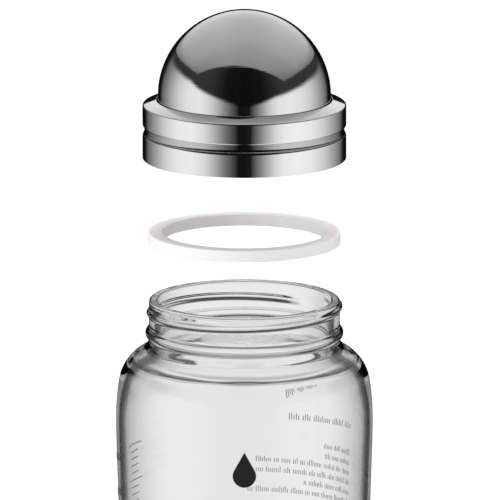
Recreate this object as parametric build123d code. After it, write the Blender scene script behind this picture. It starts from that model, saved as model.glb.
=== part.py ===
from build123d import *
import math
import os

# A salad dressing shaker: a glass bottle, a loose seal ring and a domed steel lid.
# The lid's dome doesn't turn: a screw collar turns round it, on a plastic bush, and
# presses the dome's rim and the seal onto the mouth of the bottle.
# The pieces are modelled as the photograph shows them, taken apart along the axis,
# which is +Z. The origin is at the middle of the bottle's foot. Lengths are in
# millimetres and angles in degrees.

# Bottle
bottle_h = 163.0
body_d = 81.44
neck_d = 60.5
neck_wall_t = 3.1
body_wall_t = 1.9
base_t = 6.0
neck_h = 12.41
rim_round_r = 1.1
foot_round_r = 5.0
well_round_r = 8.0
dish_d = 50.0
dish_depth = 2.0

# The outside of the shoulder: its arcs are shares of the overhang of the body past the neck
neck_bend_share = 0.41
shoulder_share = 1.276
belly_share = 7.76
waist_share = 18.36
shoulder_slope_deg = 32.08
shoulder_turn_deg = 48.93
flank_taper_deg = 1.815

# The inside of the shoulder, which turns more tightly than the outside
inner_neck_h = 12.5
inner_bend_share = 0.43
corner_share = 0.29
inner_belly_share = 5.4
inner_waist_share = 12.85
ceiling_slope_deg = 33.0
corner_turn_deg = 41.0

# Thread ridge on the neck, a right-hand one, with angles from +X
thread_h = 0.8
thread_lead = 4.26
ridge_w = 3.1
ridge_mid_w = 1.7
ridge_tip_w = 0.6
ridge_left_drop = 4.42
ridge_from_deg = 45.0
ridge_to_deg = 395.0
ridge_fade_deg = 20.0
ridge_left_deg = 180.0

# Bead under the thread
bead_h = 1.1
bead_w = 3.5
bead_drop = 10.85

# Seal ring
seal_w = 4.6
seal_h = 3.7
seal_round_r = 0.3

# Dome
dome_d = 54.72
dome_t = 0.55
dome_rim_t = 0.8
dome_foot_h = 8.08

# Screw collar, a thin steel shell with a groove between two bands
sheet_t = 0.35
lower_band_h = 7.0
groove_w = 3.6
groove_depth = 0.6
groove_bevel_h = 2.0
groove_lip_h = 0.3
upper_band_h = 6.6
collar_top_rise = 1.6
collar_edge_r = 0.5

# Plastic insert with the collar's thread lug
insert_bottom_h = 2.0
insert_h = 4.6
lug_w = 1.6
lug_tip_w = 0.9
lug_span_deg = 100.0
lug_fade_deg = 15.0
screw_turn_deg = 180.0

# Clearances
thread_radial_clear = 0.2
thread_axial_clear = 0.42
insert_clear = 0.3
lug_clear = 0.4
seal_clear = 0.25
dome_rim_clear = 0.25
dome_ledge_clear = 0.3
crevice_w = 0.45
bush_clear = 0.3
bush_press_clear = 0.1
seat_clear = 0.1

# How far apart the photograph shows the pieces
seal_travel = 18.0
lid_travel = 34.78

# Printed marks on the outside of the glass
ink_t = 0.1
ink_gap = 0.03
ink_depth = 12.0
tick_h = 0.35
tick_short_w = 6.6
tick_long_w = 11.4
tick_pitch = 2.275
tick_spread = 0.0042
tick_count = 36
tick_long_every = 5
tick_top_h = 112.4
tick_deg = 157.0
heading_h = 1.9
heading_w = 28.8
heading_top_h = 117.8
row_h = 1.5
row_pitch = 3.2
row_top_h = 108.4
row_full_w = 42.5
row_start_deg = 29.4
row_shares = (0.35, 0.33, 0.94, 0.93, 0.53, 1.0)
drop_d = 7.4
drop_h = 11.4
drop_centre_h = 116.5

# Sizes that follow from the driving sizes
neck_r = neck_d / 2
mouth_r = neck_r - neck_wall_t
overhang = body_d / 2 - neck_r
inner_overhang = overhang + neck_wall_t - body_wall_t
neck_bend_r = overhang * neck_bend_share
shoulder_r = overhang * shoulder_share
belly_r = overhang * belly_share
waist_r = overhang * waist_share
inner_bend_r = inner_overhang * inner_bend_share
corner_r = inner_overhang * corner_share
inner_belly_r = inner_overhang * inner_belly_share
inner_waist_r = inner_overhang * inner_waist_share
thread_r = neck_r + thread_h
bead_r = neck_r + bead_h
groove_in_r = thread_r + thread_radial_clear
groove_r = groove_in_r + sheet_t
collar_r = groove_r + groove_depth
shell_r = collar_r - sheet_t
insert_r = thread_r + insert_clear
lug_r = neck_r + lug_clear
seal_r = lug_r - seal_clear
seal_bore_r = seal_r - seal_w
dome_r = dome_d / 2
dome_rim_r = shell_r - dome_rim_clear
collar_hole_r = dome_r + crevice_w
screw_rise = thread_lead * screw_turn_deg / 360.0

groove_bottom_h = lower_band_h
groove_top_h = lower_band_h + groove_w
collar_edge_h = groove_top_h + upper_band_h
dome_rim_h = groove_top_h + sheet_t / 2 + dome_ledge_clear

rim_z = bottle_h
seal_z = rim_z + seat_clear + seal_travel
dome_rim_z = seal_z + seal_h + seat_clear + lid_travel
collar_z = dome_rim_z - dome_rim_h
dome_centre_z = dome_rim_z + dome_rim_t + dome_foot_h

# How far below the mouth the collar's lower edge lies once it is screwed down
closed_drop = dome_rim_h + screw_rise - seal_h - 2 * seat_clear


def turned(points_face):
    """A body of revolution about the bottle's axis, from a face in the XZ plane."""
    return revolve(points_face, axis=Axis.Z)


def outline(points):
    """A face in the XZ plane, from corners given as (radius, height)."""
    return Plane.XZ * make_face(Polyline(*points, close=True))


# The two faces of the bottle's side: the neck's radius and length, how far the body stands
# out past it, the shoulder's slope and turn, and the radii of its bend, shoulder, belly
# and waist
outer_face = (
    (neck_r, neck_h, overhang),
    (shoulder_slope_deg, shoulder_turn_deg),
    (neck_bend_r, shoulder_r, belly_r, waist_r),
)
inner_face = (
    (mouth_r, inner_neck_h, inner_overhang),
    (ceiling_slope_deg, corner_turn_deg),
    (inner_bend_r, corner_r, inner_belly_r, inner_waist_r),
)


def side_curves(face, inset):
    """One face of the bottle's side from the neck to the flank, moved inwards by inset."""
    (top_r, top_h, reach), (slope_deg, turn_deg), (bend_r, round_r, full_r, low_r) = face
    bend = JernArc((top_r - inset, rim_z - top_h), (0, -1), bend_r + inset, 90.0 - slope_deg)
    flat = math.sin(math.radians(slope_deg))
    steep = math.sin(math.radians(slope_deg + turn_deg))
    out = (1 - flat) * bend_r + (steep - flat) * round_r + (1 - steep) * full_r
    run = (reach - out) / math.cos(math.radians(slope_deg))
    slope = Line(bend @ 1, bend @ 1 + (bend % 1) * run)
    shoulder = JernArc(slope @ 1, slope % 1, round_r - inset, -turn_deg)
    belly = JernArc(shoulder @ 1, shoulder % 1, full_r - inset, slope_deg + turn_deg - 90.0)
    waist = JernArc(belly @ 1, belly % 1, low_r - inset, -flank_taper_deg)
    return [bend, slope, shoulder, belly, waist]


def bottle_form(face, inset, top_z, bottom_z):
    """The solid inside one face of the bottle's side, moved inwards by inset, between two heights."""
    curves = side_curves(face, inset)
    start = curves[0] @ 0
    end = curves[-1] @ 1
    lean = math.tan(math.radians(flank_taper_deg))
    foot = (end.X - (end.Y - bottom_z) * lean, bottom_z)
    top = Polyline((0, bottom_z), (0, top_z), (start.X, top_z), start)
    flank = Polyline(end, foot, (0, bottom_z))
    face = make_face([*top.edges(), *[c.edge() for c in curves], *flank.edges()])
    return turned(Plane.XZ * face)


def edges_at(solid, height, radius):
    """The round edges of a solid at one height and radius, to be rounded."""
    return [
        e
        for e in solid.edges().filter_by(GeomType.CIRCLE)
        if math.isclose(e.arc_center.Z, height, abs_tol=ink_t)
        and math.isclose(e.radius, radius, abs_tol=ink_t)
    ]


def lowest_edge(solid):
    """The round edge at the bottom of a solid, to be rounded."""
    return solid.edges().filter_by(GeomType.CIRCLE).sort_by(Axis.Z)[0]


def helix_ridge(tip, start_deg, span_deg, start_z, root_r):
    """A ridge along the thread's helix. tip holds (radius, half width) corners."""
    rise = thread_lead * span_deg / 360.0
    path = Helix(pitch=thread_lead, height=rise, radius=root_r)
    section = Plane(origin=path @ 0, x_dir=(1, 0, 0), z_dir=path % 0)
    corners = [(r - root_r, w) for r, w in tip] + [(r - root_r, -w) for r, w in reversed(tip)]
    face = section * make_face(Polyline(*corners, close=True))
    ridge = sweep(face, path=path, is_frenet=True)
    return Pos(0, 0, start_z) * Rot(0, 0, start_deg) * ridge


def neck_ridge():
    """The thread on the glass: a rounded ridge that fades into the neck at both ends."""
    start_z = rim_z - ridge_left_drop
    start_z -= thread_lead * (ridge_left_deg - ridge_from_deg) / 360.0
    mid_r = neck_r + thread_h / 2
    tip = [
        (neck_r - neck_wall_t / 4, ridge_w / 2),
        (neck_r, ridge_w / 2),
        (mid_r, ridge_mid_w / 2),
        (thread_r, ridge_tip_w / 2),
    ]
    span = ridge_to_deg - ridge_from_deg
    ridge = helix_ridge(tip, ridge_from_deg, span, start_z, neck_r)
    gap_half = (360.0 - span) / 2
    end_share = math.cos(math.radians(gap_half))
    full_share = math.cos(math.radians(gap_half + ridge_fade_deg))
    shift = thread_h / (end_share - full_share)
    fade = Cylinder(neck_r + shift * end_share, bottle_h)
    gap_deg = math.radians(ridge_from_deg - gap_half)
    place = Pos(-shift * math.cos(gap_deg), -shift * math.sin(gap_deg), rim_z)
    return ridge & (place * fade)


def neck_bead():
    """The level bead under the thread."""
    z = rim_z - bead_drop
    arc = ThreePointArc((neck_r, z + bead_w / 2), (bead_r, z), (neck_r, z - bead_w / 2))
    root_r = neck_r - neck_wall_t / 2
    back = Polyline(arc @ 1, (root_r, z - bead_w / 2), (root_r, z + bead_w / 2), arc @ 0)
    return turned(Plane.XZ * make_face([arc.edge(), *back.edges()]))


def glass_bottle():
    """The bottle, hollow, with a pushed-up foot and a round mouth."""
    outside = bottle_form(outer_face, 0, rim_z, 0)
    outside = fillet(lowest_edge(outside), foot_round_r)
    hollow = bottle_form(inner_face, 0, rim_z + base_t, base_t)
    hollow = fillet(lowest_edge(hollow), well_round_r)
    glass = outside - hollow
    glass = fillet(edges_at(glass, rim_z, neck_r) + edges_at(glass, rim_z, mouth_r), rim_round_r)
    ball_r = ((dish_d / 2) ** 2 + dish_depth**2) / (2 * dish_depth)
    glass -= Pos(0, 0, dish_depth - ball_r) * Sphere(ball_r)
    return glass + neck_bead() + neck_ridge()


def seal_ring():
    """The loose flat seal ring, with its edges just broken."""
    ring = Cylinder(seal_r, seal_h) - Cylinder(seal_bore_r, seal_h)
    ring = fillet(ring.edges().filter_by(GeomType.CIRCLE), seal_round_r)
    return Pos(0, 0, seal_z + seal_h / 2) * ring


def dome_cap():
    """The drawn steel dome, with a straight foot and a flat rim that presses the seal."""
    inner_r = dome_r - dome_t
    upwards = (Align.CENTER, Align.CENTER, Align.MIN)
    outer = Pos(0, 0, dome_centre_z) * Sphere(dome_r, arc_size1=0, align=upwards)
    inner = Pos(0, 0, dome_centre_z) * Sphere(inner_r, arc_size1=0, align=upwards)
    foot_h = dome_centre_z - dome_rim_z
    foot = Cylinder(dome_r, foot_h) - Cylinder(inner_r, foot_h)
    rim = Cylinder(dome_rim_r, dome_rim_t) - Cylinder(inner_r, dome_rim_t)
    cap = (outer - inner) + Pos(0, 0, dome_rim_z + foot_h / 2) * foot
    return cap + Pos(0, 0, dome_rim_z + dome_rim_t / 2) * rim


def collar_side(inset):
    """The collar's side and sloping top from the lower edge up, moved inwards by inset."""
    edge_z = collar_z + collar_edge_h
    slope = collar_top_rise / (collar_r - collar_hole_r)
    drop = inset * math.hypot(1, slope)
    return [
        (collar_r - inset, collar_z + groove_bottom_h - inset / 2),
        (groove_r - inset, collar_z + groove_bottom_h + groove_bevel_h - inset / 2),
        (groove_r - inset, collar_z + groove_top_h - groove_lip_h + inset / 2),
        (collar_r - inset, collar_z + groove_top_h + inset / 2),
        (collar_r - inset, edge_z + inset * slope - drop),
        (collar_hole_r, edge_z + collar_top_rise - drop),
    ]


def screw_collar():
    """The polished collar: two bands with a groove between them, and a sloping top."""
    outer = [(collar_r, collar_z), *collar_side(0)]
    inner = [(shell_r, collar_z), *collar_side(sheet_t)]
    shell = turned(outline([*outer, *reversed(inner)]))
    corner = edges_at(shell, collar_z + collar_edge_h, collar_r)
    return fillet(corner, collar_edge_r)


def slip_bush():
    """The plastic bush between the turning collar and the dome, under the collar's top."""
    inner_r = dome_r + bush_clear
    outer_r = shell_r - bush_clear
    slope = collar_top_rise / (collar_r - collar_hole_r)
    bottom = dome_rim_z + dome_rim_t + screw_rise + bush_press_clear
    under = collar_z + collar_edge_h - sheet_t * math.hypot(1, slope) - bush_clear
    points = [
        (inner_r, bottom),
        (outer_r, bottom),
        (outer_r, under + (collar_r - outer_r) * slope),
        (inner_r, under + (collar_r - inner_r) * slope),
    ]
    return turned(outline(points))


def thread_insert():
    """The plastic ring inside the lower band, with the lug that runs under the thread."""
    middle = collar_z + insert_bottom_h + insert_h / 2
    ring = Pos(0, 0, middle) * (Cylinder(shell_r, insert_h) - Cylinder(insert_r, insert_h))
    reach_share = lug_clear / (thread_h / 2)
    ridge_at_lug = ridge_w - (ridge_w - ridge_mid_w) * reach_share
    lug_drop = (ridge_at_lug + lug_tip_w) / 2 + thread_axial_clear
    closed_deg = 270.0 - lug_span_deg / 2
    ridge_drop = ridge_left_drop - thread_lead * (closed_deg - ridge_left_deg) / 360.0
    start_z = collar_z + closed_drop - ridge_drop - lug_drop
    tip = [
        (insert_r + insert_clear / 2, lug_w / 2),
        (insert_r, lug_w / 2),
        (lug_r, lug_tip_w / 2),
    ]
    open_deg = closed_deg + screw_turn_deg
    lug = helix_ridge(tip, open_deg, lug_span_deg, start_z, insert_r)
    full_share = math.cos(math.radians(lug_span_deg / 2 - lug_fade_deg))
    end_share = math.cos(math.radians(lug_span_deg / 2))
    shift = (insert_r - lug_r) / (full_share - end_share)
    mid_deg = math.radians(open_deg + lug_span_deg / 2)
    place = Pos(-shift * math.cos(mid_deg), -shift * math.sin(mid_deg), collar_z)
    return ring + (lug - place * Cylinder(lug_r + shift * full_share, bottle_h))


def ink_skin():
    """The thin skin on the glass that the printed marks are cut from."""
    skin = bottle_form(outer_face, -ink_t - ink_gap, rim_z, foot_round_r)
    return skin - bottle_form(outer_face, -ink_gap, rim_z, 0)


def ink_pad(width, height, direction_deg, centre_z):
    """One straight mark: the part of the skin inside a block that points outwards."""
    block = Pos(body_d / 2, 0, centre_z) * Box(ink_depth, width, height)
    return Rot(0, 0, direction_deg) * block


def scale_marks(skin):
    """The volume scale's short and long marks, further apart where the bottle is narrower."""
    blocks = []
    for i in range(tick_count):
        width = tick_short_w if i % tick_long_every else tick_long_w
        height = tick_top_h - i * (tick_pitch + i * tick_spread)
        blocks.append(ink_pad(width, tick_h, tick_deg, height))
    return skin & Compound(children=blocks)


def panel_rows(skin):
    """Plain printed bars in rows, all from one starting line."""
    rows = [(heading_w, heading_h, heading_top_h)]
    for i, share in enumerate(row_shares):
        rows.append((row_full_w * share, row_h, row_top_h - i * row_pitch))
    blocks = []
    for width, height, centre_z in rows:
        half_deg = math.degrees(math.asin(width / body_d))
        blocks.append(ink_pad(width, height, row_start_deg + half_deg, centre_z))
    return skin & Compound(children=blocks)


def front_mark(skin):
    """A plain drop on the front of the glass."""
    r = drop_d / 2
    reach = drop_h - r
    lean = math.asin(r / reach)
    side = (r * math.cos(lean), r * math.sin(lean))
    tip = (0, reach)
    bowl = ThreePointArc(side, (0, -r), (-side[0], side[1]))
    flanks = Polyline(bowl @ 1, tip, side)
    face = make_face([bowl.edge(), *flanks.edges()])
    bowl_z = drop_centre_h - drop_h / 2 + r
    clear_y = -(body_d + ink_depth) / 2
    front = Plane(origin=(0, clear_y, bowl_z), x_dir=(1, 0, 0), z_dir=(0, -1, 0))
    return skin & extrude(front * face, amount=-ink_depth)


def write(name, shape):
    """One file for each sub-part."""
    shape.label = name
    export_step(shape, f"parts/{name}.step")


os.makedirs("parts", exist_ok=True)
write("glass_bottle", glass_bottle())
write("seal_ring", seal_ring())
write("dome_cap", dome_cap())
write("screw_collar", screw_collar())
write("slip_bush", slip_bush())
write("thread_insert", thread_insert())
ink = ink_skin()
write("scale_marks", scale_marks(ink))
write("panel_rows", panel_rows(ink))
write("front_mark", front_mark(ink))
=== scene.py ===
# %% [markdown]
# # A shaker for salad dressing, dressed for its picture
#
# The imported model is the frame: it holds every piece at its real size and place, and the
# joints that lift the seal and the lid and turn the collar. This lesson gives each piece
# the surface of the real one. Clear glass and mirror polished steel show every facet of a
# mesh, so the bottle, the dome, the collar and the seal get finely turned meshes of the
# same size, which stand for the CAD pieces. The rows of print are drawn finer too, and the
# volume scale gets its numbers. The other pieces keep their CAD shape and get a better
# material.

# %% Load the frame
import math
import random

import bmesh
import bpy
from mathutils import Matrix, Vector


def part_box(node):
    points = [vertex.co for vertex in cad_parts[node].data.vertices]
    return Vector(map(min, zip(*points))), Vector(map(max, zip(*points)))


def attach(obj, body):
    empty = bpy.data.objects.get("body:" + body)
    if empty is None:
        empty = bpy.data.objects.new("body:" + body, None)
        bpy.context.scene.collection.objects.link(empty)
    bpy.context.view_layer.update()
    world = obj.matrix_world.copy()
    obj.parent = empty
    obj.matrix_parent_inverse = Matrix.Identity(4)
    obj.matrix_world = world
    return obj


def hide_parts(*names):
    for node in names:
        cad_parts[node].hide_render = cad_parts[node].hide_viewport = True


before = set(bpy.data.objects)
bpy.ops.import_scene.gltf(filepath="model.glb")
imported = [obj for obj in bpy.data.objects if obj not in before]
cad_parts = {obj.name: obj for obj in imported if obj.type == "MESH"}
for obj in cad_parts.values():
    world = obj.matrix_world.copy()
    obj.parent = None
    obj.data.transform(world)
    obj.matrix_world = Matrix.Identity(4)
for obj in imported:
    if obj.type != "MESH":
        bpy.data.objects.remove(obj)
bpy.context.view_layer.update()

MM = 0.001
print("pieces in the frame:", sorted(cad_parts))

# %% [markdown]
# ## Turning a mesh
#
# A lathe shape could be made with a Screw modifier on a curve. Writing the rows of points
# ourselves is as short, and it lets the thread ridge push some points outwards. A profile
# is a list of (radius, height) in millimetres. Where it starts or ends on the axis the
# rows close in one point; where its last point meets its first it closes into a ring.

# %% Lathe helper
ROUND_STEPS = 288


def add_piece(name, data):
    """Put a mesh, a lamp or a camera into the scene as an object."""
    piece = bpy.data.objects.new(name, data)
    bpy.context.scene.collection.objects.link(piece)
    return piece


def on_circle(radius, angle, height):
    """A point in metres from a radius and a height in millimetres."""
    return (radius * math.cos(angle) * MM, radius * math.sin(angle) * MM, height * MM)


def turned_mesh(name, profile, push=None, ring=False):
    """Turn a profile about Z. push(radius, height, angle) moves a point outwards."""
    mesh = bpy.data.meshes.new(name)
    build = bmesh.new()
    rows = []
    for radius, height in profile:
        if radius < 1e-6:
            rows.append([build.verts.new((0, 0, height * MM))])
            continue
        row = []
        for i in range(ROUND_STEPS):
            angle = 2 * math.pi * i / ROUND_STEPS
            r = radius + (push(radius, height, angle) if push else 0)
            row.append(build.verts.new(on_circle(r, angle, height)))
        rows.append(row)
    pairs = list(zip(rows, rows[1:]))
    if ring:
        pairs.append((rows[-1], rows[0]))
    for low, high in pairs:
        for i in range(ROUND_STEPS):
            j = (i + 1) % ROUND_STEPS
            if len(low) == 1:
                build.faces.new((low[0], high[j], high[i]))
            elif len(high) == 1:
                build.faces.new((low[i], low[j], high[0]))
            else:
                build.faces.new((low[i], low[j], high[j], high[i]))
    bmesh.ops.recalc_face_normals(build, faces=build.faces)
    build.to_mesh(mesh)
    build.free()
    for face in mesh.polygons:
        face.use_smooth = True
    print(name, "has", len(mesh.polygons), "faces")
    return add_piece(name, mesh)


def arc(centre, radius, start, end, count):
    """Points on an arc, angles in degrees from the outward direction."""
    turns = [math.radians(start + (end - start) * i / count) for i in range(count + 1)]
    return [(centre[0] + radius * math.cos(t), centre[1] + radius * math.sin(t)) for t in turns]


# %% [markdown]
# Polished walls must stay flat right up to their rounded edges, or their reflections
# bend. Smooth shading spreads an edge's normal over the whole next face, so each rounded
# corner gets one more row of points close beside it, which keeps the bend where it is.

# %% Rounded corners for a closed profile
EDGE_ROW = 0.06


def rounded_ring(corners, count=5):
    """A closed profile from (radius, height, rounding) corners, with a row beside each arc."""
    profile = []
    for i, (x, z, rounding) in enumerate(corners):
        here = Vector((x, z))
        before = Vector(corners[i - 1][:2]) - here
        after = Vector(corners[(i + 1) % len(corners)][:2]) - here
        half = before.angle(after) / 2
        before, after = before.normalized(), after.normalized()
        reach = rounding / math.tan(half)
        middle = here + (before + after).normalized() * (rounding / math.sin(half))
        first = here + before * reach
        last = here + after * reach
        a = math.atan2(first.y - middle.y, first.x - middle.x)
        b = math.atan2(last.y - middle.y, last.x - middle.x)
        sweep = (b - a + math.pi) % (2 * math.pi) - math.pi
        profile.append(tuple(first + before * EDGE_ROW))
        for k in range(count + 1):
            t = a + sweep * k / count
            profile.append((middle.x + rounding * math.cos(t), middle.y + rounding * math.sin(t)))
        profile.append(tuple(last + after * EDGE_ROW))
    return profile


# %% [markdown]
# ## The glass bottle
#
# The wall of the real bottle is about 3 mm thick in the neck and 2 mm in the body, and
# what one sees of clear glass is mostly how its outside and inside bend the light. So the
# mesh has both faces, joined by the round lip and the thick base. Each face is made of
# the same arcs as in the CAD solid: a hollow bend under the neck, a short slope, a
# shoulder, a slow belly and an even slower waist. The inside turns more tightly than the
# outside, so the shoulder holds more glass, and its inner corner draws the dark line that
# one sees under the neck.

# %% The two faces of the side
RIM, NECK_R, NECK_WALL, NECK_DEPTH, LIP = 163.0, 30.25, 3.1, 12.41, 1.1
BODY_R, BODY_WALL, TAPER = 81.44 / 2, 1.9, 1.815
MOUTH_R = NECK_R - NECK_WALL
lean = math.radians(TAPER)


def side_profile(neck, body, depth, slope, turn, bend, shoulder, belly, waist):
    """One face of the side, from the neck's end at a depth down to the straight flank.

    neck and body are its radii there, slope is the fall of the short slope and turn the
    shoulder's sweep, in degrees, and the other four are the radii of the arcs.
    """
    low, turned = math.radians(slope), math.radians(slope + turn)
    centre = (neck + bend, RIM - depth)
    points = arc(centre, bend, 180, 270 - slope, 12)
    out = (1 - math.sin(low)) * bend
    out += (math.sin(turned) - math.sin(low)) * shoulder + (1 - math.sin(turned)) * belly
    run = (body - neck - out) / math.cos(low)
    x = centre[0] - bend * math.sin(low) + run * math.cos(low)
    z = centre[1] - bend * math.cos(low) - run * math.sin(low)
    centre = (x - shoulder * math.sin(low), z - shoulder * math.cos(low))
    points += arc(centre, shoulder, 90 - slope, 90 - slope - turn, 20)
    less = shoulder - belly
    centre = (centre[0] + less * math.sin(turned), centre[1] + less * math.cos(turned))
    points += arc(centre, belly, 90 - slope - turn, 0, 12)[1:]
    centre = (centre[0] + belly - waist, centre[1])
    points += arc(centre, waist, 0, -TAPER, 6)[1:]
    return points


def flank_down(start, bottom, count):
    """Points down the straight flank, from start to a height."""
    heights = [start[1] + (bottom - start[1]) * i / count for i in range(1, count + 1)]
    return [(start[0] - (start[1] - h) * math.tan(lean), h) for h in heights]


outside = side_profile(
    neck=NECK_R, body=BODY_R, depth=NECK_DEPTH,
    slope=32.08, turn=48.93, bend=4.29, shoulder=13.36, belly=81.25, waist=192.2,
)
inside = side_profile(
    neck=MOUTH_R, body=BODY_R - BODY_WALL, depth=12.5,
    slope=33.0, turn=41.0, bend=5.0, shoulder=3.4, belly=63.0, waist=150.0,
)
print("outside", len(outside), "points, inside", len(inside), "points")

# %% [markdown]
# The two faces are joined below by a rounded foot, a thick base that is hollowed out
# underneath like a shallow dish, and the round well inside, and above by the lip.

# %% The whole profile
FOOT_R, WELL_R, BASE = 5.0, 8.0, 6.0
DISH_R, DISH_H, DISH_EDGE, FOOT_ROW = 25.0, 2.0, 0.3, 0.6
FLANK_ROWS, NECK_ROWS, MOUTH_ROW = 24, 56, 1.6
DISH_RADII, BASE_RADII = (0, 3, 7, 11, 15, 19, 22, 24, 24.8), (20, 14, 8, 4, 0)


def corner_centre(face, rounding, floor_height):
    """The centre of the arc between a flank and a floor."""
    at = flank_down(face[-1], floor_height + rounding, 1)[0]
    return (at[0] - rounding / math.cos(lean), floor_height + rounding)


foot = corner_centre(outside, FOOT_R, 0.0)
well = corner_centre(inside, WELL_R, BASE)
ball = (DISH_R**2 + DISH_H**2) / (2 * DISH_H)

glass_profile = [(r, DISH_H - ball + math.sqrt(ball**2 - r * r)) for r in DISH_RADII]
glass_profile += [(DISH_R + DISH_EDGE, 0.0), (foot[0] - FOOT_ROW, 0.0)]
glass_profile += arc(foot, FOOT_R, -90, -TAPER, 12)
flank = flank_down(outside[-1], glass_profile[-1][1], FLANK_ROWS)[:-1]
glass_profile += list(reversed(flank)) + list(reversed(outside))
neck_row = (NECK_DEPTH - LIP) / NECK_ROWS
glass_profile += [(NECK_R, RIM - NECK_DEPTH + neck_row * i) for i in range(1, NECK_ROWS)]
glass_profile += arc((NECK_R - LIP, RIM - LIP), LIP, 0, 90, 8)
glass_profile += arc((MOUTH_R + LIP, RIM - LIP), LIP, 90, 180, 8)
glass_profile += [(MOUTH_R, RIM - LIP - MOUTH_ROW * i) for i in range(1, 7)]
glass_profile += inside + flank_down(inside[-1], well[1], FLANK_ROWS)[:-1]
glass_profile += arc(well, WELL_R, -TAPER, -90, 14) + [(r, BASE) for r in BASE_RADII]
print("glass profile:", len(glass_profile), "points, mouth radius", MOUTH_R, "mm")

# %% [markdown]
# The thread is one rounded ridge that climbs to the right and fades into the neck at both
# ends, with a level bead below it. Both are pushed out of the neck's points, so the glass
# stays one smooth skin, as it left the mould. Inside the shoulder, where no mould touched
# the glass, a slow unevenness stays.

# %% Thread ridge and bead
RIDGE_H, RIDGE_HALF, RIDGE_LEAD, RIDGE_DROP = 0.8, 1.6, 4.26, 4.42
RIDGE_FROM, RIDGE_TO, RIDGE_FADE = 45.0, 395.0, 24.0
BEAD_H, BEAD_W, BEAD_DROP, BEAD_REACH = 1.1, 3.5, 10.85, 3
NECK_ROOT, LEAST_WALL = 14.5, 1.2
WAVES_FROM, WAVES_TO, WAVE_H = 136, 150, 0.22
# each wave: its share, how often it goes round, where it starts, how it turns with height
WAVES = ((0.5, 3, 0.7, 0.0), (0.3, 7, 0.0, 0.8), (0.2, 13, 0.0, -1.0))


def ease(x):
    """A smooth step from 0 to 1."""
    x = min(max(x, 0.0), 1.0)
    return x * x * (3 - 2 * x)


def side_radius(height):
    """The bottle's outer radius at a height, read from its profile."""
    if height >= outside[0][1]:
        return NECK_R
    for (r0, z0), (r1, z1) in zip(outside, outside[1:]):
        if z1 <= height <= z0 and z0 > z1:
            return r0 + (r1 - r0) * (z0 - height) / (z0 - z1)
    return outside[-1][0] - (outside[-1][1] - height) * math.tan(lean)


def inner_waves(height, angle):
    """The slow unevenness that blowing leaves inside the shoulder, in millimetres."""
    reach = ease((height - WAVES_FROM) / 6) * ease((WAVES_TO - height) / 5)
    swing = sum(
        share * math.sin(times_round * angle + start + height * climb)
        for share, times_round, start, climb in WAVES
    )
    return WAVE_H * reach * swing


def thread_ridge(depth, turn):
    """The thread's height at a depth under the rim and a direction in degrees."""
    turn += 360 if turn < RIDGE_FROM - 5 else 0
    fade = ease((turn - RIDGE_FROM) / RIDGE_FADE) * ease((RIDGE_TO - turn) / RIDGE_FADE)
    centre = RIDGE_DROP - RIDGE_LEAD * (turn - 180) / 360
    return RIDGE_H * fade * (1 - ease(abs(depth - centre) / RIDGE_HALF))


def level_bead(depth, radius):
    """The bead's height at a depth: a part of a circle that runs softly into the neck."""
    curve = ((BEAD_W / 2) ** 2 + BEAD_H**2) / (2 * BEAD_H)
    rise = curve**2 - (depth - BEAD_DROP) ** 2
    bead = NECK_R + BEAD_H - curve + (math.sqrt(rise) if rise > 0 else 0) - radius
    softened = (bead + math.sqrt(bead * bead + 0.02)) / 2 - 0.01
    return softened if abs(depth - BEAD_DROP) < BEAD_REACH else 0.0


def neck_push(radius, height, angle):
    """How far a point of the glass moves out of the plain profile."""
    depth = RIM - height
    if radius < side_radius(height) - LEAST_WALL:
        return inner_waves(height, angle)
    if radius < NECK_R - 0.05 or depth < LIP * 0.9 or depth > NECK_ROOT:
        return 0.0
    return thread_ridge(depth, math.degrees(angle)) + level_bead(depth, radius)


glass = turned_mesh("glass_skin", glass_profile, push=neck_push)
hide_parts("glass_bottle")
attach(glass, "bottle")

# %% [markdown]
# ## The steel dome and collar
#
# The lid is drawn and spun from thin stainless sheet and then mirror polished. Its walls
# are straight, with small rounded edges that catch a bright line and a dark line each.
# The dome ends below in a flat rim that is hidden in the collar, with its own straight
# foot, and the collar's top slopes up to a cut edge round it.

# %% Dome mesh
dome_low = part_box("dome_cap")[0].z / MM
DOME_R, DOME_SHEET, DOME_FOOT, DOME_WALL = 27.36, 0.55, 8.08, 7.3
DOME_RIM_R, DOME_RIM_T, RIM_EDGE, RIM_BEND = 31.6, 0.8, 0.2, 0.3
dome_mid = dome_low + DOME_RIM_T + DOME_FOOT
dome_bore = DOME_R - DOME_SHEET
rim_end, rim_top = DOME_RIM_R - RIM_EDGE, dome_low + DOME_RIM_T
dome_profile = arc((0, dome_mid), DOME_R, 90, 0, 72)
dome_profile[0] = (0.0, dome_mid + DOME_R)
dome_profile += [(DOME_R, dome_mid - DOME_WALL * i / 8) for i in range(1, 9)]
dome_profile += [(DOME_R + RIM_BEND, rim_top), (rim_end, rim_top)]
dome_profile += arc((rim_end, rim_top - RIM_EDGE), RIM_EDGE, 90, 0, 3)
dome_profile += arc((rim_end, dome_low + RIM_EDGE), RIM_EDGE, 0, -90, 3)
dome_profile += arc((dome_bore + RIM_BEND, dome_low + RIM_BEND), RIM_BEND, 270, 180, 4)
dome_profile += [(dome_bore, dome_low + 1 + DOME_WALL * i / 8) for i in range(0, 8)]
dome_profile += arc((0, dome_mid), dome_bore, 0, 90, 48)
dome_profile[-1] = (0.0, dome_mid + dome_bore)
dome = turned_mesh("dome_shell", dome_profile)
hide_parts("dome_cap")
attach(dome, "dome")
print("dome foot at", round(dome_low, 2), "mm")

# %% [markdown]
# The collar's two bands meet in a groove. From below, the sheet is drawn into the groove in
# a soft double curve; the upper band stands over it with a crisp edge. Each corner below
# is a radius, a height and the rounding there, first up the outside and then down the
# inside of the sheet.

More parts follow.
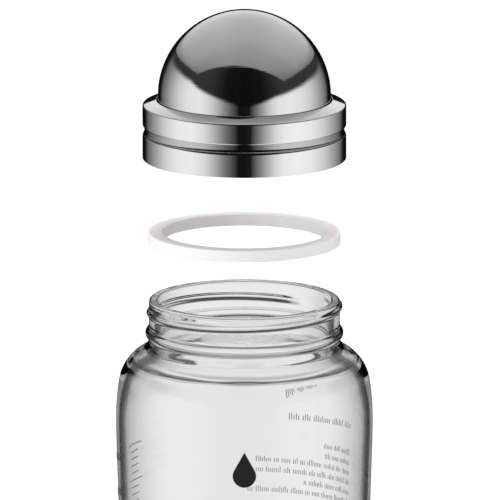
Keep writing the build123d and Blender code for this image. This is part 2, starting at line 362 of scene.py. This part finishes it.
# %% Collar mesh
collar_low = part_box("screw_collar")[0].z / MM
COLLAR_R, COLLAR_SHEET, HOLE_R, GROOVE_R = 32.2, 0.35, 27.81, 31.6
LOWER_BAND, GROOVE_W, UPPER_BAND, TOP_RISE = 7.0, 3.6, 6.6, 1.6
groove_top = LOWER_BAND + GROOVE_W
shoulder_h = groove_top + UPPER_BAND
hole_top = shoulder_h + TOP_RISE
fall = TOP_RISE / (COLLAR_R - HOLE_R)
drop = COLLAR_SHEET * math.hypot(1, fall)
inner_r, inner_groove_r = COLLAR_R - COLLAR_SHEET, GROOVE_R - COLLAR_SHEET
collar_corners = [
    (COLLAR_R, 0.0, 0.17), (COLLAR_R, LOWER_BAND + 0.54, 1.75),
    (GROOVE_R, LOWER_BAND + 1.44, 1.75), (GROOVE_R, groove_top - 0.2, 0.12),
    (COLLAR_R, groove_top, 0.45), (COLLAR_R, shoulder_h, 0.7), (30.0, shoulder_h + 0.84, 50.0),
    (HOLE_R, hole_top - 0.05, 0.1), (HOLE_R, hole_top - drop, 0.1),
    (inner_r, shoulder_h + COLLAR_SHEET * fall - drop, 0.1), (inner_r, groove_top + 0.3, 0.08),
    (inner_groove_r, groove_top + 0.05, 0.08), (inner_groove_r, LOWER_BAND + 1.3, 0.3),
    (inner_r, LOWER_BAND + 0.4, 0.3), (inner_r, 0.0, 0.17),
]
collar_profile = rounded_ring([(x, z + collar_low, r) for x, z, r in collar_corners], count=8)
collar = turned_mesh("collar_shell", collar_profile, ring=True)
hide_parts("screw_collar")
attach(collar, "collar")
print("collar foot at", round(collar_low, 2), "mm")

# %% [markdown]
# ## The seal ring
#
# A flat ring of white silicone, cut square with its edges just broken. The ring is turned
# again here so that its long curved edges stay round in a close view.

# %% Seal ring mesh
seal_low, seal_high = (corner.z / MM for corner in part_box("seal_ring"))
SEAL_R, SEAL_BORE, LOW_EDGE, TOP_EDGE = 30.4, 25.8, 0.3, 0.4
seal_corners = [
    (SEAL_R, seal_low, LOW_EDGE), (SEAL_R, seal_high, TOP_EDGE),
    (SEAL_BORE, seal_high, TOP_EDGE), (SEAL_BORE, seal_low, LOW_EDGE),
]
seal = turned_mesh("seal_band", rounded_ring(seal_corners), ring=True)
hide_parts("seal_ring")
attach(seal, "seal")

# %% [markdown]
# ## Materials
#
# Every finish is made of nodes that read the piece's own coordinates, so it stays on the
# piece when a joint moves. These helpers make a material, set the plain sockets of its
# Principled shader, put it on a piece and read the piece's coordinates.

# %% Material helpers
def plain_material(name, **sockets):
    """A material whose shader has the named sockets set, with its node tree and shader."""
    material = bpy.data.materials.new(name)
    material.use_nodes = True
    shader = material.node_tree.nodes["Principled BSDF"]
    for key, value in sockets.items():
        shader.inputs[key.replace("_", " ")].default_value = value
    return material, material.node_tree, shader


def give(piece, material):
    """Put one material on a piece, in the slots it already has."""
    if piece.data.materials:
        for i in range(len(piece.data.materials)):
            piece.data.materials[i] = material
    else:
        piece.data.materials.append(material)


def own_place(tree):
    """The piece's own coordinates."""
    return tree.nodes.new("ShaderNodeTexCoord").outputs["Object"]


def parts_of(tree, vector):
    """A vector's x, y and z."""
    split = tree.nodes.new("ShaderNodeSeparateXYZ")
    tree.links.new(vector, split.inputs[0])
    return split.outputs


print("materials start from the Principled shader")

# %% [markdown]
# Nodes can calculate, and most finishes here need a little of that. Short helpers keep a
# chain of Math nodes readable: plus, minus and times read like the sum that they stand for.

# %% Arithmetic helpers
def math_node(tree, operation, *values):
    """A Math node; each value is a number or another node's output."""
    node = tree.nodes.new("ShaderNodeMath")
    node.operation = operation
    for socket, value in zip(node.inputs, values):
        if isinstance(value, (int, float)):
            socket.default_value = value
        else:
            tree.links.new(value, socket)
    return node.outputs[0]


def plus(tree, first, second):
    """first + second."""
    return math_node(tree, "ADD", first, second)


def minus(tree, first, second):
    """first - second."""
    return math_node(tree, "SUBTRACT", first, second)


def times(tree, first, *others):
    """The product of all the values."""
    for other in others:
        first = math_node(tree, "MULTIPLY", first, other)
    return first


def from_axis(tree, x, y):
    """The distance from the Z axis."""
    return math_node(tree, "SQRT", plus(tree, times(tree, x, x), times(tree, y, y)))


print("arithmetic: plus, minus, times and the distance from the axis")

# %% [markdown]
# Noise gives unevenness, a bump turns it into relief, and a mix of two tones turns it into
# colour. A ramp and a soft step shape a plain number into a brightness or a mask.

# %% Pattern helpers
def noise(tree, vector, scale, detail=2.0, roughness=0.5):
    """A noise pattern over a vector; returns its grey value."""
    node = tree.nodes.new("ShaderNodeTexNoise")
    node.inputs["Scale"].default_value = scale
    node.inputs["Detail"].default_value = detail
    node.inputs["Roughness"].default_value = roughness
    tree.links.new(vector, node.inputs["Vector"])
    return node.outputs["Fac"]


def bump(tree, shader, height, distance, strength=1.0):
    """Lets a grey value raise the surface by up to distance, in metres."""
    node = tree.nodes.new("ShaderNodeBump")
    node.inputs["Strength"].default_value = strength
    node.inputs["Distance"].default_value = distance
    tree.links.new(height, node.inputs["Height"])
    tree.links.new(node.outputs["Normal"], shader.inputs["Normal"])


def two_tones(tree, share, first, second):
    """A mix of two colours; each is (red, green, blue) or another node's output."""
    node = tree.nodes.new("ShaderNodeMixRGB")
    tree.links.new(share, node.inputs["Fac"])
    for socket, colour in zip((node.inputs["Color1"], node.inputs["Color2"]), (first, second)):
        if isinstance(colour, tuple):
            socket.default_value = (*colour, 1)
        else:
            tree.links.new(colour, socket)
    return node.outputs[0]


def grey(level):
    """A neutral colour."""
    return (level, level, level)


def ramp(tree, value, stops):
    """Grey as a function of value from 0 to 1, given as (position, grey) stops."""
    node = tree.nodes.new("ShaderNodeValToRGB")
    node.color_ramp.interpolation = "LINEAR"
    band = node.color_ramp.elements
    while len(band) > 1:
        band.remove(band[-1])
    band[0].position, band[0].color = stops[0][0], (*grey(stops[0][1]), 1)
    for position, level in stops[1:]:
        band.new(position).color = (*grey(level), 1)
    tree.links.new(value, node.inputs[0])
    return node.outputs["Color"]


def soft_step(tree, value, low, high):
    """0 below low, 1 above high, and a smooth rise between them."""
    node = tree.nodes.new("ShaderNodeMapRange")
    node.interpolation_type = "SMOOTHSTEP"
    node.inputs["From Min"].default_value = low
    node.inputs["From Max"].default_value = high
    tree.links.new(value, node.inputs["Value"])
    return node.outputs[0]


print("patterns: noise, bump, two tones, ramp and soft step")

# %% [markdown]
# Clear glass is a transmitting shader with glass's own index of refraction. Blown glass
# is never quite flat, so a slow noise raises it by a few hundredths of a millimetre, and a
# patch on the front of the neck, between the thread and the bead, gets a fine grain.

# %% Glass
CLEAR = (0.985, 0.99, 0.99)
GLASS_BUMP, FINE_SHARE, SLOW_SHARE = 0.0001, 0.5, 0.3
PATCH_HALF, PATCH_SIDE, PATCH_FRONT, PATCH_FULL = 0.009, 0.016, -0.02, -0.024
PATCH_FOOT, PATCH_TOP = (0.1528, 0.1545), (0.1578, 0.1568)
glass_clear, tree, shader = plain_material(
    "clear_glass", Base_Color=(*CLEAR, 1), Roughness=0.0, IOR=1.5, Transmission_Weight=1.0
)
where = own_place(tree)
x, y, z = parts_of(tree, where)
patch = times(
    tree,
    soft_step(tree, math_node(tree, "ABSOLUTE", x), PATCH_SIDE, PATCH_HALF),
    soft_step(tree, y, PATCH_FRONT, PATCH_FULL),
    soft_step(tree, z, *PATCH_FOOT), soft_step(tree, z, *PATCH_TOP),
)
fine = noise(tree, where, scale=2200.0, detail=2.0)
slow = noise(tree, where, scale=38.0, detail=1.0)
fine_grain = times(tree, fine, times(tree, patch, FINE_SHARE))
slow_waves = times(tree, slow, SLOW_SHARE)
bump(tree, shader, plus(tree, slow_waves, fine_grain), GLASS_BUMP)
give(glass, glass_clear)
print("the glass rises by at most", round(GLASS_BUMP / MM, 2), "mm")

# %% [markdown]
# Where the outer face turns away from the eye, its base colour is darkened by a tint that
# depends on the facing angle. This is painted shade: it draws the dark line just inside the
# outline that dark surroundings give, and leaves the outermost fringe light. The shoulder is
# rounder than the flank, so the line moves a little further in there. The outer face is
# found by comparing each point's radius with the profile made above.

# %% Painted shade inside the glass's outline
EDGE_SHADE_STOPS = [
    (0.0, 1.0), (0.28, 1.0), (0.45, 0.85), (0.55, 0.56), (0.61, 0.32), (0.65, 0.06), (0.7, 0.012),
    (0.775, 0.015), (0.81, 0.3), (0.86, 0.8), (0.93, 1.0),
]
SHOULDER_FOOT, SHOULDER_TOP, SHOULDER_MORE = 0.126, 0.148, 0.2
LIP_TOP, LIP_FOOT = 0.1618, 0.1608
TALLEST, WIDEST = 170, 50
facing = tree.nodes.new("ShaderNodeLayerWeight")
facing.inputs["Blend"].default_value = 0.5
on_shoulder = soft_step(tree, z, SHOULDER_FOOT, SHOULDER_TOP)
rounder = plus(tree, 1.0, times(tree, on_shoulder, SHOULDER_MORE))
painted_edge_tone = ramp(tree, times(tree, facing.outputs["Facing"], rounder), EDGE_SHADE_STOPS)
outline_heights = [0.0] + [124 + 1.6 * i for i in range(25)]
outline = ramp(tree, times(tree, z, 1 / (TALLEST * MM)), [
    (height / TALLEST, side_radius(height) / WIDEST) for height in outline_heights
])
inward = minus(tree, times(tree, from_axis(tree, x, y), 1 / (WIDEST * MM)), outline)
outer_face = soft_step(tree, inward, -1.2 / WIDEST, -0.6 / WIDEST)
below_lip = soft_step(tree, z, LIP_TOP, LIP_FOOT)
# painted shade: the glass's base colour darkens with the facing angle near its outline
painted_edge_shade = two_tones(tree, times(tree, outer_face, below_lip), CLEAR, painted_edge_tone)
tree.links.new(painted_edge_shade, shader.inputs["Base Color"])
print("outline read at", len(outline_heights), "heights")

# %% [markdown]
# Polished steel is a metal with very little roughness. Turning and buffing leave fine
# lines that run round the piece, so the noise is read from the radius and the height
# only: it can't change along a line. It lifts the surface by almost nothing and makes
# the roughness vary a little from line to line. Inside the collar's groove the base
# colour is darkened, which is painted shade for the recess.

# %% Polished steel
LINE_SHADE, GROOVE_PAINTED_SHADE, POLISH = 0.94, 0.62, 0.06


def polished_steel(name, tint, roughness, line_height, groove=None):
    """Mirror polished steel with turned lines round Z. groove is the (low, high, radius) span of
    painted shade.
    """
    material, tree, shader = plain_material(name, Metallic=1.0, Roughness=roughness)
    where = own_place(tree)
    x, y, z = parts_of(tree, where)
    radius = from_axis(tree, x, y)
    join = tree.nodes.new("ShaderNodeCombineXYZ")
    tree.links.new(radius, join.inputs[0])
    tree.links.new(z, join.inputs[2])
    lines = noise(tree, join.outputs[0], scale=1800.0, detail=3.0, roughness=0.6)
    bump(tree, shader, lines, distance=line_height, strength=0.4)
    clouds = noise(tree, where, scale=90.0, detail=3.0)
    spread = tree.nodes.new("ShaderNodeMapRange")
    spread.inputs["To Min"].default_value = roughness * 0.7
    spread.inputs["To Max"].default_value = roughness * 1.5
    tree.links.new(times(tree, lines, clouds), spread.inputs["Value"])
    tree.links.new(spread.outputs[0], shader.inputs["Roughness"])
    colour = two_tones(tree, lines, tuple(c * LINE_SHADE for c in tint), tint)
    if groove:
        low, high, wall = groove
        # painted shade: the base colour inside the groove is darkened to stand for the shade of
        # the recess
        painted_groove_shade = times(
            tree,
            soft_step(tree, z, low, low + 0.0012), soft_step(tree, z, high, high - 0.0003),
            soft_step(tree, radius, wall + 0.0005, wall + 0.0001),
        )
        colour = two_tones(tree, painted_groove_shade, colour, tuple(c * GROOVE_PAINTED_SHADE for c in tint))
    tree.links.new(colour, shader.inputs["Base Color"])
    print(name, "has", len(tree.nodes), "nodes")
    return material


give(dome, polished_steel("dome_polish", (0.85, 0.85, 0.855), POLISH, 0.00002))
groove_low, groove_high = ((collar_low + h) * MM for h in (LOWER_BAND + 0.2, groove_top + 0.1))
groove_span = (groove_low, groove_high, GROOVE_R * MM)
give(collar, polished_steel("collar_polish", (0.92, 0.92, 0.925), POLISH, 0.000006, groove_span))

# %% [markdown]
# Silicone is soft and slightly see-through, so some light goes into it before it comes
# back. The bush and the insert inside the lid are moulded plastic with a fine grain.

# %% Silicone and moulded plastic
silicone, tree, shader = plain_material(
    "white_silicone", Roughness=0.42, IOR=1.42, Subsurface_Weight=0.35, Subsurface_Scale=0.002
)
where = own_place(tree)
grain = noise(tree, where, scale=900.0, detail=4.0)
bump(tree, shader, grain, distance=0.00003, strength=0.35)
dust = noise(tree, where, scale=120.0, detail=3.0)
tree.links.new(two_tones(tree, dust, grey(0.9), grey(0.96)), shader.inputs["Base Color"])
give(seal, silicone)


def moulded_plastic(name, dark, light, roughness):
    """Matt plastic with a fine moulded grain and a slight change of tone."""
    material, tree, shader = plain_material(name, Roughness=roughness)
    where = own_place(tree)
    grain = noise(tree, where, scale=1400.0, detail=4.0)
    bump(tree, shader, grain, distance=0.00004, strength=0.4)
    tone = two_tones(tree, noise(tree, where, scale=150.0, detail=3.0), dark, light)
    tree.links.new(tone, shader.inputs["Base Color"])
    print(name, "is a moulded plastic")
    return material


bush_black = moulded_plastic("bush_black", (0.012, 0.012, 0.013), (0.03, 0.03, 0.03), 0.5)
insert_white = moulded_plastic("insert_white", (0.6, 0.6, 0.59), (0.72, 0.72, 0.7), 0.45)
give(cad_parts["slip_bush"], bush_black)
give(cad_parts["thread_insert"], insert_white)

# %% [markdown]
# ## Print on the glass
#
# The ink is fired onto the outside of the glass. The CAD pads hold the marks' places; the
# ink gets a slightly uneven black, as screen print has. The plain numbers of the volume
# scale are drawn here: each is made as flat text first and then wrapped round the
# bottle's side, where it reads from outside.

# %% Ink
def printed_ink(name, thin, full):
    """Screen print: an uneven grey between a thin and a full layer of ink."""
    material, tree, shader = plain_material(name, Roughness=0.45)
    where = own_place(tree)
    layer = noise(tree, where, scale=2200.0, detail=3.0)
    tone = two_tones(tree, layer, grey(thin), grey(full))
    tree.links.new(tone, shader.inputs["Base Color"])
    print(name, "goes from", thin, "to", full)
    return material


scale_ink = printed_ink("scale_ink", 0.16, 0.07)
give(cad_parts["scale_marks"], scale_ink)
give(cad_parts["front_mark"], printed_ink("mark_ink", 0.02, 0.008))

# %% [markdown]
# The scale has a number at every 50 ml. The marks spread downwards, because the bottle is
# narrower there, and the numbers follow them.

# %% Numbers on the scale
TICK_TOP, TICK_PITCH, TICK_SPREAD = 112.4, 2.275, 0.0042
NUMBER_SIZE, NUMBER_TURN, INK_HALF, INK_LIFT = 3.6, 184.0, 0.04, 0.07


def wrapped_number(name, digits, height):
    """Plain digits on the bottle's side, centred at a height in millimetres."""
    text = bpy.data.curves.new(name, "FONT")
    text.body, text.align_x, text.align_y = digits, "CENTER", "CENTER"
    text.size, text.extrude, text.resolution_u = NUMBER_SIZE, INK_HALF, 6
    flat = add_piece(name + "_flat", text)
    bpy.context.view_layer.update()
    mesh = bpy.data.meshes.new_from_object(flat)
    bpy.data.objects.remove(flat)
    for point in mesh.vertices:
        z = height + point.co.y
        r = side_radius(z) + INK_LIFT + point.co.z
        point.co = on_circle(r, math.radians(NUMBER_TURN) + point.co.x / r, z)
    mesh.name = name
    piece = add_piece(name, mesh)
    give(piece, scale_ink)
    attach(piece, "bottle")


volumes = range(450, 50, -50)
for volume in volumes:
    i = (450 - volume) // 10
    height = TICK_TOP - i * (TICK_PITCH + i * TICK_SPREAD)
    wrapped_number(f"number_{volume}", str(volume), height)
print("numbers on the scale:", list(volumes))

# %% [markdown]
# The rows of print on the right are plain upright strokes of two heights, in groups, so
# that they have the grey of small print and say nothing.

# %% Rows of strokes
ROW_START, ROW_TOP, ROW_PITCH, ROW_FULL, ROW_SIZE = 29.4, 108.4, 3.2, 42.5, 1.3
ROW_SHARES = (0.35, 0.33, 0.94, 0.93, 0.53, 1.0)
HEADING_TOP, HEADING_W, HEADING_SIZE = 117.8, 28.8, 1.6
INK_FACES = (0.03, 0.11)


def side_block(build, start, low, width, height):
    """A thin block on the side; start and width run round it from ROW_START, in millimetres."""
    corners = []
    end, high = start + width, low + height
    for lift in INK_FACES:
        for along, z in ((start, low), (end, low), (end, high), (start, high)):
            angle = math.radians(ROW_START) + along / (BODY_R - 0.5)
            corners.append(build.verts.new(on_circle(side_radius(z) + lift, angle, z)))
    quads = ((0, 1, 2, 3), (4, 7, 6, 5), (0, 4, 5, 1), (1, 5, 6, 2), (2, 6, 7, 3), (3, 7, 4, 0))
    for quad in quads:
        build.faces.new([corners[i] for i in quad])


def stroke_row(build, centre_z, length, size):
    """One row of stroke groups of a length. size is the height of a short stroke."""
    low, line, pitch = centre_z - size / 2, size * 0.16, size * 0.52
    at = 0.0
    while at < length - pitch:
        for _ in range(random.randint(3, 9)):
            if at > length - pitch:
                break
            side_block(build, at, low, line, size * (1.45 if random.random() < 0.25 else 1.0))
            at += pitch
        at += pitch


random.seed(7)
build = bmesh.new()
stroke_row(build, HEADING_TOP, HEADING_W, HEADING_SIZE)
for i, share in enumerate(ROW_SHARES):
    stroke_row(build, ROW_TOP - i * ROW_PITCH, ROW_FULL * share, ROW_SIZE)
bmesh.ops.recalc_face_normals(build, faces=build.faces)
rows_mesh = bpy.data.meshes.new("row_strokes")
build.to_mesh(rows_mesh)
build.free()
rows = add_piece("row_strokes", rows_mesh)
give(rows, printed_ink("row_ink", 0.06, 0.03))
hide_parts("panel_rows")
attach(rows, "bottle")
print("strokes in the rows:", len(rows_mesh.polygons) // 6)

# %% [markdown]
# ## Studio
#
# The real picture was taken in a white tent: a broad light overhead, one on each side and
# a dark camera in front, which polished steel shows as a black strip. The background is
# white for the camera. Reflections and what is seen through the glass read the tent from
# the world's own directions, so they stay where they are when the camera goes round.

# %% World and its directions
world = bpy.data.worlds.new("tent")
bpy.context.scene.world = world
world.use_nodes = True
tree = world.node_tree
tree.nodes.clear()


def grey_mix(tree, share, first, second):
    """first where share is 0, second where it is 1."""
    return plus(tree, times(tree, first, minus(tree, 1.0, share)), times(tree, second, share))


def over(tree, first, second):
    """first / second."""
    return math_node(tree, "DIVIDE", first, second)


def by_degrees(pairs, span, zero):
    """Ramp stops from (degrees, grey) pairs. zero is where 0 degrees lies on the ramp."""
    return [(zero + degrees / span, level) for degrees, level in pairs]


dx, dy, dz = parts_of(tree, tree.nodes.new("ShaderNodeTexCoord").outputs["Generated"])
to_front = times(tree, dy, -1.0)
azimuth = math_node(tree, "ARCTAN2", math_node(tree, "ABSOLUTE", dx), to_front)
azimuth = over(tree, azimuth, math.pi)
all_round = over(tree, math_node(tree, "ARCTAN2", dx, to_front), 2 * math.pi)
all_round = plus(tree, all_round, 0.5)
elevation = math_node(tree, "ARCSINE", dz)
print("nodes that read the directions:", len(tree.nodes))

# %% [markdown]
# The steel shows the tent's side walls bright and the camera's side and the far side dark.
# The walls end at a slanting upper edge, over which the tent is dark, and the table before
# them is light. The stops below are degrees round from the front, plus to the right, and
# how bright the wall is there.

# %% Tent walls
WALL_STOPS = (
    (-154, 0.004), (-147, 0.037), (-140, 0.15), (-132, 0.22), (-116, 0.43), (-100, 0.7),
    (-82, 0.9), (-62, 0.94), (-46, 0.76), (-35, 0.5), (-26, 0.27), (-18, 0.13), (-11, 0.05),
    (-7, 0.007), (0, 0.007), (7, 0.012), (11, 0.09), (18, 0.23), (26, 0.445), (35, 0.716),
    (46, 0.91), (62, 0.965), (82, 0.89), (100, 0.69), (116, 0.444), (132, 0.24),
    (140, 0.135), (147, 0.016), (154, 0.004),
)
EDGE_STOPS = (
    (-143, 0.39), (-109, 0.51), (-82, 0.53), (-67, 0.45), (-41, 0.33), (-15, 0.19), (0, 0.1),
    (17, 0.17), (42, 0.33), (74, 0.4), (101, 0.42), (145, 0.32),
)
ABOVE_STOPS = ((0, 0.004), (25, 0.006), (55, 0.037), (140, 0.037), (155, 0.006))
EDGE_ZERO, EDGE_RISE, EDGE_SOFT = 0.2, math.radians(50.0), math.radians(3.0)
TABLE_FAR, TABLE_NEAR, TABLE_GREY = math.radians(-35.0), math.radians(-50.0), 0.85
TABLE_FROM, TABLE_FULL = 8.0 / 180, 30.0 / 180

walls = ramp(tree, all_round, by_degrees(WALL_STOPS, 360, 0.5))
above = ramp(tree, azimuth, by_degrees(ABOVE_STOPS, 180, 0.0))
top_edge = ramp(tree, all_round, by_degrees(EDGE_STOPS, 360, 0.5))
edge_angle = times(tree, minus(tree, top_edge, EDGE_ZERO), EDGE_RISE)
over_wall = soft_step(tree, minus(tree, elevation, edge_angle), -EDGE_SOFT, EDGE_SOFT)
on_table = soft_step(tree, elevation, TABLE_FAR, TABLE_NEAR)
on_table = times(tree, on_table, soft_step(tree, azimuth, TABLE_FROM, TABLE_FULL))
tent = grey_mix(tree, on_table, grey_mix(tree, over_wall, walls, above), TABLE_GREY)
print("stops on the walls:", len(WALL_STOPS), "and on their upper edge:", len(EDGE_STOPS))

# %% [markdown]
# The light overhead is a flat panel with straight edges, which the dome bends into its
# bright cap. A flat panel is easiest to draw on a level plane one unit up: across and back
# are where a direction meets that plane. The panel's front edge runs a little askew, it
# grows brighter towards the back and dimmer towards the sides.

# %% Overhead panel
PANEL_SKEW, PANEL_HALF, PANEL_MIDDLE, PANEL_BACK = 0.18, 2.14, 0.15, 6.0
FRONT_EDGE, SIDE_EDGE, BACK_EDGE = (-0.86, -0.8), (-0.06, 0.06), (0.0, 0.5)
DEPTH_STOPS = [
    (0.0, 0.27), (0.04, 0.3), (0.075, 0.33), (0.117, 0.365), (0.175, 0.455), (0.23, 0.5),
    (0.33, 0.58), (0.6, 0.8), (1.0, 0.85),
]
DIM_STOPS = [
    (0.0, 0.94), (0.17, 1.0), (0.35, 0.87), (0.48, 0.77), (0.6, 0.64), (0.73, 0.4), (1.0, 0.3),
]
DIM_MIDDLE, DIM_REACH = 0.1, 3.0


def away_from(tree, value, middle):
    """How far a value is from a middle, on either side."""
    return math_node(tree, "ABSOLUTE", minus(tree, value, middle))


up = math_node(tree, "MAXIMUM", dz, 0.001)
across, back = over(tree, dx, up), over(tree, dy, up)
front_line = plus(tree, back, times(tree, across, PANEL_SKEW))
side_room = plus(tree, PANEL_HALF, times(tree, back, PANEL_SKEW))
side_gap = minus(tree, side_room, away_from(tree, across, PANEL_MIDDLE))
in_panel = times(
    tree,
    soft_step(tree, front_line, *FRONT_EDGE), soft_step(tree, side_gap, *SIDE_EDGE),
    soft_step(tree, minus(tree, PANEL_BACK, back), *BACK_EDGE),
)
panel = ramp(tree, over(tree, plus(tree, back, 1.0), PANEL_BACK), DEPTH_STOPS)
offside = over(tree, away_from(tree, across, DIM_MIDDLE), DIM_REACH)
panel = times(tree, panel, ramp(tree, offside, DIM_STOPS))
reflected = grey_mix(tree, in_panel, tent, panel)
print("the panel spans", 2 * PANEL_HALF, "at one unit up")

# %% [markdown]
# Clear glass shows what stands behind and beside it, bent. In an all white tent it would
# have no lines, so rays that went through glass see pale cloths that get greyer behind the
# shaker, and two dark strips, one just above level height and one well below it, which
# draw the dark lines of the neck and the shoulder.

# %% Cloths and strips behind the glass
CLOTH_STOPS = (
    (0, 1.0), (125, 1.0), (145, 0.95), (160, 0.76), (173, 0.66), (175.4, 0.7), (176.4, 0.78),
    (177.6, 0.84), (178.6, 0.86), (180, 0.84),
)
STRIP_STOPS = (
    (-90, 0.95), (-45, 0.95), (-41, 0.4), (-36, 0.15), (-33, 0.35), (-30, 0.95), (-9, 1.0),
    (-7, 0.85), (-5, 0.62), (0, 0.56), (3, 0.05), (11, 0.03), (14, 0.6), (18, 0.73), (25, 0.5),
)
STRIP_END, STRIP_FULL, BESIDE_GREY = 135.0 / 180, 160.0 / 180, 0.72
OVERHEAD_LOW, OVERHEAD_HIGH, OVERHEAD_LEAST = math.radians(22.0), math.radians(28.0), 0.4

cloths = ramp(tree, azimuth, by_degrees(CLOTH_STOPS, 180, 0.0))
tilt = plus(tree, over(tree, elevation, math.pi), 0.5)
strips = ramp(tree, tilt, by_degrees(STRIP_STOPS, 180, 0.5))
strips = grey_mix(tree, soft_step(tree, azimuth, STRIP_FULL, STRIP_END), strips, BESIDE_GREY)
overhead = soft_step(tree, elevation, OVERHEAD_LOW, OVERHEAD_HIGH)
overhead_level = math_node(tree, "MAXIMUM", reflected, OVERHEAD_LEAST)
seen_through = grey_mix(tree, overhead, times(tree, cloths, strips), overhead_level)
print("darkest strip:", min(level for _, level in STRIP_STOPS))

# %% [markdown]
# Each kind of ray gets its own level from one background: plain white for the camera, the
# tent for reflections, the cloths for rays that went through glass, and one even grey for
# the rest, which lights the matt pieces.

# %% Joining the levels
EVEN_GREY, WHITE = 0.75, 1.0
path = tree.nodes.new("ShaderNodeLightPath")
level = grey_mix(tree, path.outputs["Is Glossy Ray"], EVEN_GREY, reflected)
level = grey_mix(tree, path.outputs["Is Transmission Ray"], level, seen_through)
level = grey_mix(tree, path.outputs["Is Camera Ray"], level, WHITE)
sky = tree.nodes.new("ShaderNodeBackground")
sky.inputs["Color"].default_value = (*grey(1), 1)
tree.links.new(level, sky.inputs["Strength"])
tree.links.new(sky.outputs[0], tree.nodes.new("ShaderNodeOutputWorld").inputs["Surface"])
print("the world has", len(tree.nodes), "nodes")

# %% [markdown]
# Two soft lamps give the shaker a near and a far side and put its shadow on the floor.
# They stay out of the reflections, because the tent is in them already.

# %% Lamps
LAMP_AIM = Vector((0, 0, 0.13))


def soft_lamp(name, place, size, power):
    """A square area lamp that looks at the middle of the shaker."""
    lamp = bpy.data.lights.new(name, "AREA")
    lamp.energy, lamp.size = power, size
    lit = add_piece(name, lamp)
    lit.location = place
    lit.rotation_euler = (LAMP_AIM - Vector(place)).to_track_quat("-Z", "Y").to_euler()
    lit.visible_glossy = False
    lit.visible_transmission = False
    lit.visible_camera = False
    print(name, "gives", power, "W")


soft_lamp("overhead_lamp", place=(0.1, 0.3, 1.3), size=0.9, power=9.0)
soft_lamp("left_lamp", place=(-1.2, -0.5, 0.6), size=0.8, power=6.0)

# %% [markdown]
# The floor is a pale matt grey. For the camera a glow brings it up to white, so the shadow
# under the bottle stays. All other rays meet a second matt grey in place of the glow.

# %% Floor
FLOOR_HALF, FLOOR_GREY, FLOOR_REST, FLOOR_GLOW = 9, 0.5, 0.3, 0.6
h = FLOOR_HALF
floor_mesh = bpy.data.meshes.new("floor")
floor_mesh.from_pydata([(-h, -h, 0), (h, -h, 0), (h, h, 0), (-h, h, 0)], [], [(0, 1, 2, 3)])
floor = add_piece("floor", floor_mesh)
floor.visible_glossy = False
floor.visible_transmission = False

pale = bpy.data.materials.new("pale_floor")
pale.use_nodes = True
tree = pale.node_tree
tree.nodes.clear()
matt = tree.nodes.new("ShaderNodeBsdfDiffuse")
matt.inputs["Color"].default_value = (*grey(FLOOR_GREY), 1)
rest = tree.nodes.new("ShaderNodeBsdfDiffuse")
rest.inputs["Color"].default_value = (*grey(FLOOR_REST), 1)
glow = tree.nodes.new("ShaderNodeEmission")
glow.inputs["Strength"].default_value = FLOOR_GLOW
path = tree.nodes.new("ShaderNodeLightPath")
shown = tree.nodes.new("ShaderNodeMixShader")
tree.links.new(path.outputs["Is Camera Ray"], shown.inputs["Fac"])
tree.links.new(rest.outputs[0], shown.inputs[1])
tree.links.new(glow.outputs[0], shown.inputs[2])
both = tree.nodes.new("ShaderNodeAddShader")
tree.links.new(matt.outputs[0], both.inputs[0])
tree.links.new(shown.outputs[0], both.inputs[1])
tree.links.new(both.outputs[0], tree.nodes.new("ShaderNodeOutputMaterial").inputs["Surface"])
floor_mesh.materials.append(pale)
print("floor", 2 * FLOOR_HALF, "m across")

# %% [markdown]
# ## Camera
#
# The photograph looks down by about 12 degrees, from far away: nothing in it grows or
# shrinks with distance. A long lens gives that flat look. One pixel is 0.3163 mm at the
# bottle's axis, so the 500 pixel frame is 158.2 mm tall there.

# %% Camera
LENS, SENSOR, TILT, PIXEL_MM = 1200.0, 36.0, math.radians(12.0), 0.3163
FRAME_MM, AIM = 500 * PIXEL_MM, Vector((1.77, 0, 178.7)) * MM
camera_data = bpy.data.cameras.new("camera")
camera_data.lens, camera_data.sensor_width = LENS, SENSOR
camera_data.clip_start, camera_data.clip_end = 0.1, 40.0
camera = add_piece("camera", camera_data)
far = FRAME_MM * MM * LENS / SENSOR
outward = Vector((0, -math.cos(TILT), math.sin(TILT)))
camera.location = AIM + outward * far
camera.rotation_euler = (-outward).to_track_quat("-Z", "Y").to_euler()
bpy.context.scene.camera = camera
bpy.context.scene.view_settings.view_transform = "Standard"
print("camera", round(far, 2), "m away")
